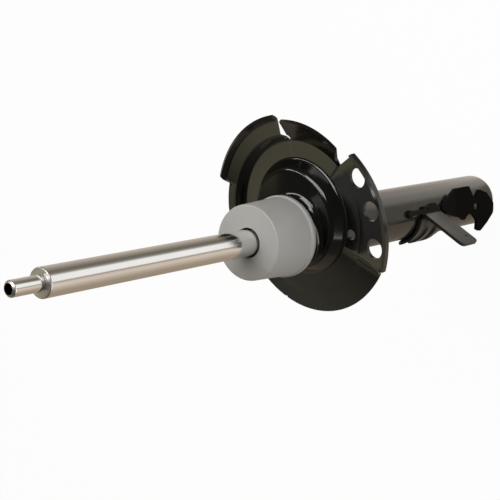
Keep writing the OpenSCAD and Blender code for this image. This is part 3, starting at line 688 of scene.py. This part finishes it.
# the plain end with its lobes, drawn flat in lobe widths and lengths of the strap, and kept where a ring on
# the tube passes through it
def strapEnd():
    s = strap
    low, length, lobe, inner = s["low"], s["length"], s["lobe"], s["inner"]
    start, lobeAt, top = low + length / 4, low + 0.46 * length, low + length + s["lobeRise"]
    end = pushedOut(block(-1.4 * lobe, start, 0.3 * lobe, start + 0.67 * length))
    for shape in (block(-0.15 * lobe, start, 0.55 * lobe, top - 0.8 * lobe),
                  disc((0.4 * lobe, lobeAt), lobe),
                  block(0.15 * lobe, lobeAt, 0.95 * lobe, low + 0.86 * length),
                  disc((0.15 * lobe, top - 0.8 * lobe), 0.62 * lobe)):
        end = combined(end, pushedOut(shape), "UNION")
    end = combined(end, pushedOut(disc((0.56 * lobe, low + 0.72 * length), s["eyelet"], 24)))
    start, stop = (s["to"] + turn for turn in s["endTurns"])
    ring = sector(block(inner, low, inner + s["thick"], top), start, stop, 24)
    return combined(end, ring, "INTERSECT")


def makeSaddle():
    bm = sector(strapProfile(), strap["from"], strap["to"], 48)
    bm = combined(bm, strapEnd(), "UNION")
    finished(bm, "hoseSaddle", "bracket_paint", stands=["hose_saddle"], edge=strap["edge"], look=strapPaint())


def makeTab():
    t = tab
    half, end, thick = t["width"] / 2, t["length"], strap["thick"]
    outline = cornered([(-t["sunk"], -half, 0), (end, -half, t["corner"]), (end, half, t["corner"]),
                        (-t["sunk"], half, 0)], 8)
    bm = plate([tuple(v) for v in outline], thick, centred=True)
    holeAt = Matrix.Translation(((end - t["holeIn"]) * mm, t["holeAcross"] * mm, 0))
    bm = combined(bm, bar(t["hole"], holeBar, 24, holeAt))
    stand = (Matrix.Translation(Vector(t["root"]) * mm) @ Matrix.Rotation(-math.radians(t["drop"]), 4, "Z")
             @ Matrix.Rotation(math.pi / 2, 4, "X"))
    bmesh.ops.transform(bm, matrix=stand, verts=bm.verts)
    under = bar(strap["inner"] + thick - t["overlap"], t["under"], roundSteps,
                Matrix.Translation((0, 0, t["root"][2] * mm)))
    finished(combined(bm, under), "hoseTab", "bracket_paint", stands=["hose_tab"], edge=t["edge"])


# the outline is drawn flat: [down the sheet from its bend, across, round]
bracket = {"bend": 92.0, "yaw": 20.0, "reach": 70.0, "bendRound": (6, 3), "holeAt": (27.3, -2.2), "hole": 3.3,
           "outline": [(2.2, 18.2, 0), (3.7, 18.2, 2), (18.3, 18.9, 1.5), (22.6, 8.6, 1), (26.6, 8, 0.6),
                       (31.3, 14.2, 0.6), (41, 10.5, 4), (49.6, 0, 6), (48.6, -10.4, 8), (39.5, -19.7, 6),
                       (29.6, -27.6, 1), (24.8, -25.4, 1), (26.6, -16, 5), (20.6, -9, 3), (14.4, -9.6, 3),
                       (9.4, -14.8, 1), (4.4, -11.2, 2), (0, -10.4, 2), (-16, -6, 4), (-28, -1, 1),
                       (-28, 4, 1), (0, 18.2, 2), (1.2, 18.2, 0)]}


# a sheet that lies up the tube and leans away from it below the bend, cut to its outline
def makeBracket():
    b = bracket
    yaw, inner, thick, reach = math.radians(b["yaw"]), strap["inner"], strap["thick"], b["reach"]
    inRound, outRound = b["bendRound"]
    bend = Vector((inner, b["bend"]))
    down, off = Vector((math.sin(yaw), -math.cos(yaw))), Vector((math.cos(yaw), math.sin(yaw)))
    outBend = bend + thick * Vector((1, math.tan(yaw / 2)))
    nearSide = cornered([(*(bend + Vector((0, reach))), 0), (*bend, inRound), (*(bend + reach * down), 0)])
    farSide = cornered([(*(bend + reach * down + thick * off), 0), (*outBend, outRound),
                        (*(bend + Vector((thick, reach))), 0)])
    bm = plate([tuple(v) for v in nearSide + farSide], 2 * reach)
    upright = Matrix.Translation((0, reach * mm, 0)) @ Matrix.Rotation(math.pi / 2, 4, "X")
    bmesh.ops.transform(bm, matrix=upright, verts=bm.verts)
    outline = cornered([(y, b["bend"] - along * (math.cos(yaw) if along > 0 else 1), size)
                        for along, y, size in b["outline"]])
    bm = combined(bm, pushedOut([tuple(v) for v in outline], 2 * reach), "INTERSECT")
    along, y = b["holeAt"]
    at = bend + along * down + thick / 2 * off
    place = Matrix.Translation((at.x * mm, y * mm, at.y * mm)) @ Matrix.Rotation(math.pi / 2 - yaw, 4, "Y")
    bm = combined(bm, bar(b["hole"], holeBar, 40, place))
    finished(bm, "sensorBracket", "bracket_paint", stands=["sensor_bracket"], edge=strap["edge"],
             look=dullBlack)


makeSaddle()
makeTab()
makeBracket()
print("brackets made")


# what a shiny face sees on the floor round the strut, far off and near: [share of a turn from -X, colour]
farRound = [(0.0, (0.40, 0.34, 0.27)), (0.20, (0.36, 0.29, 0.22)), (0.30, (0.40, 0.32, 0.25)),
            (0.375, (0.58, 0.49, 0.40)), (0.42, (0.74, 0.64, 0.55)), (0.465, (0.66, 0.56, 0.48)),
            (0.482, (0.30, 0.26, 0.23)), (0.492, (0.45, 0.41, 0.38)), (0.505, (1.0, 1.0, 0.99)),
            (0.605, (1.0, 1.0, 0.99)), (0.625, (0.42, 0.41, 0.39)), (0.66, (0.19, 0.175, 0.15)),
            (0.70, (0.17, 0.155, 0.125)), (0.77, (0.34, 0.30, 0.25)), (0.85, (0.52, 0.46, 0.39)),
            (1.0, (0.66, 0.60, 0.53))]
nearRound = [(0.0, (0.40, 0.34, 0.27)), (0.20, (0.30, 0.25, 0.19)), (0.32, (0.38, 0.31, 0.24)),
             (0.425, (0.42, 0.34, 0.25)), (0.44, (0.16, 0.12, 0.08)), (0.455, (0.42, 0.39, 0.28)),
             (0.60, (0.42, 0.40, 0.30)), (0.64, (0.95, 0.90, 0.80)), (0.74, (1.0, 0.92, 0.82)),
             (0.80, (0.80, 0.70, 0.62)), (0.88, (0.78, 0.70, 0.62)), (1.0, (1.0, 0.95, 0.88))]
# in metres; bright is how much of the floor's white the camera sees, and the rest keeps the shadow
floorSize = {"half": 6, "below": 0.0008, "nearTo": 0.22, "farFrom": 0.30, "matt": (0.8, 0.8, 0.79),
             "bright": 0.96}


def makeFloor():
    s = floorSize
    bm = bmesh.new()
    bmesh.ops.create_grid(bm, x_segments=1, y_segments=1, size=s["half"])
    floor = asObject(bm, "floor")
    floor.location.z = -s["below"]
    f = Finish("floorWhite")
    spot = f.node("ShaderNodeTexCoord", out="Object")
    x, y = f.parts(spot, 2)
    turn = f.maths("ARCTAN2", y, x) * (1 / math.tau) + 0.5
    away = f.node("ShaderNodeVectorMath", {"operation": "LENGTH"}, {0: spot}, out="Value")
    far = f.spread(away, s["nearTo"], s["farFrom"], 0, 1)
    near, wide = (f.node("ShaderNodeValToRGB", {"stops": stops}, {"Fac": turn})
                  for stops in (nearRound, farRound))
    seen = f.node("ShaderNodeEmission", None, {"Color": f.tint(far, near, wide), "Strength": 1.0})
    lit = f.node("ShaderNodeEmission", None, {"Color": (1, 1, 1, 1), "Strength": 1.0})
    matt = f.node("ShaderNodeBsdfDiffuse", None, {"Color": (*s["matt"], 1)})
    camera = f.node("ShaderNodeLightPath", out="Is Camera Ray")
    glossy = f.node("ShaderNodeLightPath", out="Is Glossy Ray")
    white = f.node("ShaderNodeMixShader", None, {0: camera * s["bright"], 1: matt, 2: lit})
    both = f.node("ShaderNodeMixShader", None, {0: glossy, 1: white, 2: seen})
    f.node("ShaderNodeOutputMaterial", None, {"Surface": both})
    floor.data.materials.append(f.material)


# the room's colour by height, from a little under the horizon to straight up
roomUp = [(0.0, (0.24, 0.22, 0.17)), (0.35, (0.12, 0.11, 0.09)), (0.6, (0.05, 0.05, 0.045)),
          (1.0, (0.06, 0.06, 0.055))]
roomLow = -0.2
# soft bright patches: [direction, full within, gone beyond (degrees), colour]
roomPatches = [((-0.66, -0.64, 0.38), 10, 31, (0.40, 0.38, 0.29)),
               ((-0.83, -0.20, 0.52), 12, 19, (0.98, 0.91, 0.61))]
# a long narrow light, seen as a thin line in every rounded edge; its half width and reach are in degrees
stripLight = {"aim": (-0.375, 0.462, 0.804), "across": (-0.524, -0.82, 0.231), "half": 2.2, "reach": 30,
              "fade": 4, "glow": (20.0, 19.6, 18.8)}


# white to the camera, and otherwise dim, with two soft patches and a strip of light
def makeRoom():
    world = bpy.data.worlds.new("studio")
    bpy.context.scene.world = world
    room = Finish("studio", world)
    way = room.node("ShaderNodeTexCoord", out="Generated")
    z = room.parts(way, 3)[2]
    colour = room.node("ShaderNodeValToRGB", {"stops": roomUp}, {"Fac": room.spread(z, roomLow, 1, 0, 1)})

    def toward(aim, full, edge):
        along = room.node("ShaderNodeVectorMath", {"operation": "DOT_PRODUCT"}, {0: way, 1: aim}, out="Value")
        return room.spread(along, math.cos(math.radians(edge)), math.cos(math.radians(full)), 0, 1)

    for aim, full, edge, glow in roomPatches:
        colour = room.tint(toward(aim, full, edge), colour, glow)
    s = stripLight
    above, below = (toward(tuple(sign * c for c in s["across"]), 90 - s["half"], 90) for sign in (1, -1))
    strip = (1 - above) * (1 - below) * toward(s["aim"], s["reach"], s["reach"] + s["fade"])
    colour = room.tint(strip, colour, s["glow"])
    camera = room.node("ShaderNodeLightPath", out="Is Camera Ray")
    colour = room.tint(camera, colour, (1, 1, 1))
    back = room.node("ShaderNodeBackground", None, {"Color": colour, "Strength": 1.0})
    room.node("ShaderNodeOutputWorld", None, {"Surface": back})


# where the camera stands and how it is turned, in the strut's frame, in metres
cameraPlace = {"at": (0.6109, 0.0898, 1.1540), "right": (0.7834, -0.0775, -0.6167),
               "up": (0.0, 0.9922, -0.1247), "back": (0.6216, 0.0977, 0.7773), "lens": 86.4, "sensor": 36,
               "nearest": 0.01}


def makeCamera():
    c = cameraPlace
    data = bpy.data.cameras.new("camera")
    data.sensor_width = c["sensor"]
    data.lens = c["lens"]
    data.clip_start = c["nearest"]
    camera = bpy.data.objects.new("camera", data)
    bpy.context.collection.objects.link(camera)
    turn = Matrix([c["right"], c["up"], c["back"]]).transposed()
    camera.matrix_world = Matrix.Translation(c["at"]) @ turn.to_4x4()
    bpy.context.scene.camera = camera


# in metres and watts
lamps = {
    "keySoftbox": {"at": (0.2, 0.75, 1.5), "aim": (0, 0, 0.35), "size": (1.3, 0.5), "power": 14},
    "frontFill": {"at": (1.2, -0.5, 0.42), "aim": (0, 0, 0.4), "size": (1.3, 0.5), "power": 7},
}


def makeLamps():
    for name, s in lamps.items():
        data = bpy.data.lights.new(name, "AREA")
        data.shape = "RECTANGLE"
        data.size, data.size_y = s["size"]
        data.energy = s["power"]
        lamp = bpy.data.objects.new(name, data)
        bpy.context.collection.objects.link(lamp)
        lamp.location = s["at"]
        lamp.rotation_euler = (Vector(s["aim"]) - Vector(s["at"])).to_track_quat("-Z", "Y").to_euler()


makeFloor()
makeRoom()
makeCamera()
makeLamps()
bpy.context.scene.view_settings.view_transform = "Standard"
print("stage, camera and lamps set")
